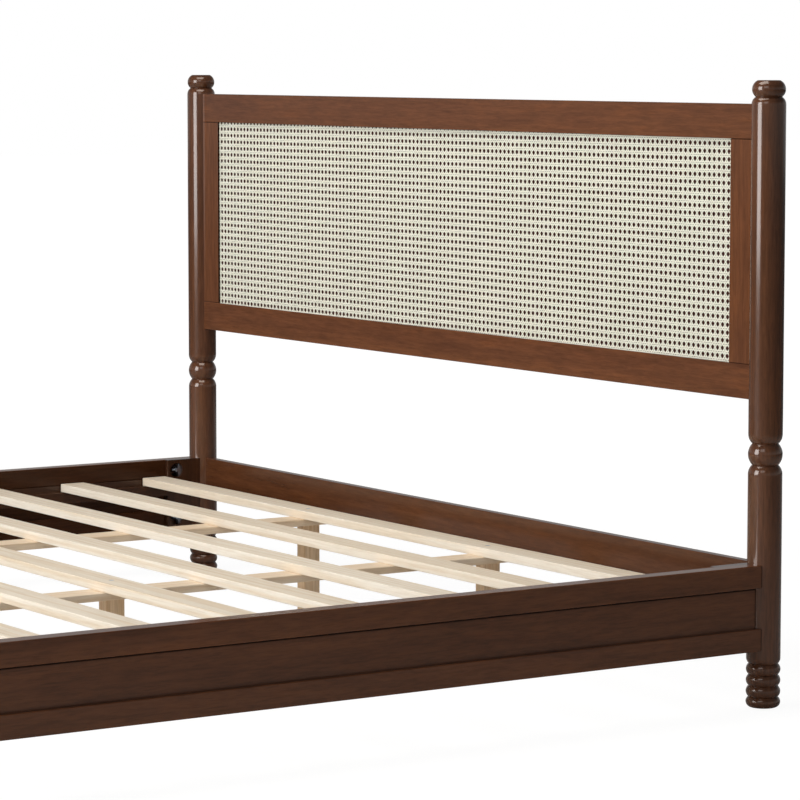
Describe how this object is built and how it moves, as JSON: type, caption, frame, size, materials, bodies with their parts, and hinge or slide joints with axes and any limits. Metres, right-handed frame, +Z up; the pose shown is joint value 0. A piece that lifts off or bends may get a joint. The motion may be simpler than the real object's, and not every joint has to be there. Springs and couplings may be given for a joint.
{
  "type": "bed frame",
  "caption": "King-size bed frame with turned posts, a cane-filled headboard, panelled rails bolted to the posts, and pine slats on boards with support legs.",
  "frame": {"origin": "on the floor, under the middle of the bed", "axes": "+Z up, +Y from the foot to the headboard, +X to the right of somebody who stands at the foot and looks at the headboard"},
  "size_m": [2.0206, 2.1335, 1.095],
  "materials": {
    "walnut_stain": "reddish walnut stain under satin lacquer, fine open grain",
    "cane": "pale open-weave cane webbing, matt",
    "backing_board": "dark brown stained board, matt",
    "pine": "planed pale pine, unfinished",
    "zinc_steel": "bluish zinc plate",
    "glide_nylon": "dark nylon"
  },
  "bodies": {
    "root": {"beam_screws": "zinc_steel", "cane_panel": "cane", "corner_block_foot_left": "walnut_stain", "corner_block_foot_right": "walnut_stain", "corner_block_head_left": "walnut_stain", "corner_block_head_right": "walnut_stain", "foot_post_left": "walnut_stain", "foot_post_right": "walnut_stain", "foot_rail_block_left": "walnut_stain", "foot_rail_block_right": "walnut_stain", "foot_rail_bottom": "walnut_stain", "foot_rail_panel": "walnut_stain", "foot_rail_top": "walnut_stain", "frame_dowels": "pine", "half_moon_washers": "zinc_steel", "head_cross_rail": "walnut_stain", "headboard_backing_board": "backing_board", "headboard_bottom_rail": "walnut_stain", "headboard_post_left": "walnut_stain", "headboard_post_right": "walnut_stain", "headboard_stile_left": "walnut_stain", "headboard_stile_right": "walnut_stain", "headboard_top_rail": "walnut_stain", "ledger_screws": "zinc_steel", "leg_glides": "glide_nylon", "leg_screws": "zinc_steel", "post_glides": "glide_nylon", "post_inserts": "zinc_steel", "rail_nuts": "zinc_steel", "rail_studs": "zinc_steel", "side_rail_left_bottom": "walnut_stain", "side_rail_left_panel": "walnut_stain", "side_rail_left_top": "walnut_stain", "side_rail_right_bottom": "walnut_stain", "side_rail_right_panel": "walnut_stain", "side_rail_right_top": "walnut_stain", "slat_01": "pine", "slat_02": "pine", "slat_03": "pine", "slat_04": "pine", "slat_05": "pine", "slat_06": "pine", "slat_07": "pine", "slat_08": "pine", "slat_09": "pine", "slat_10": "pine", "slat_beam_left": "pine", "slat_beam_right": "pine", "slat_ledger_left": "walnut_stain", "slat_ledger_right": "walnut_stain", "support_leg_left_1": "pine", "support_leg_left_2": "pine", "support_leg_left_3": "pine", "support_leg_right_1": "pine", "support_leg_right_2": "pine", "support_leg_right_3": "pine"}
  },
  "joints": []
}
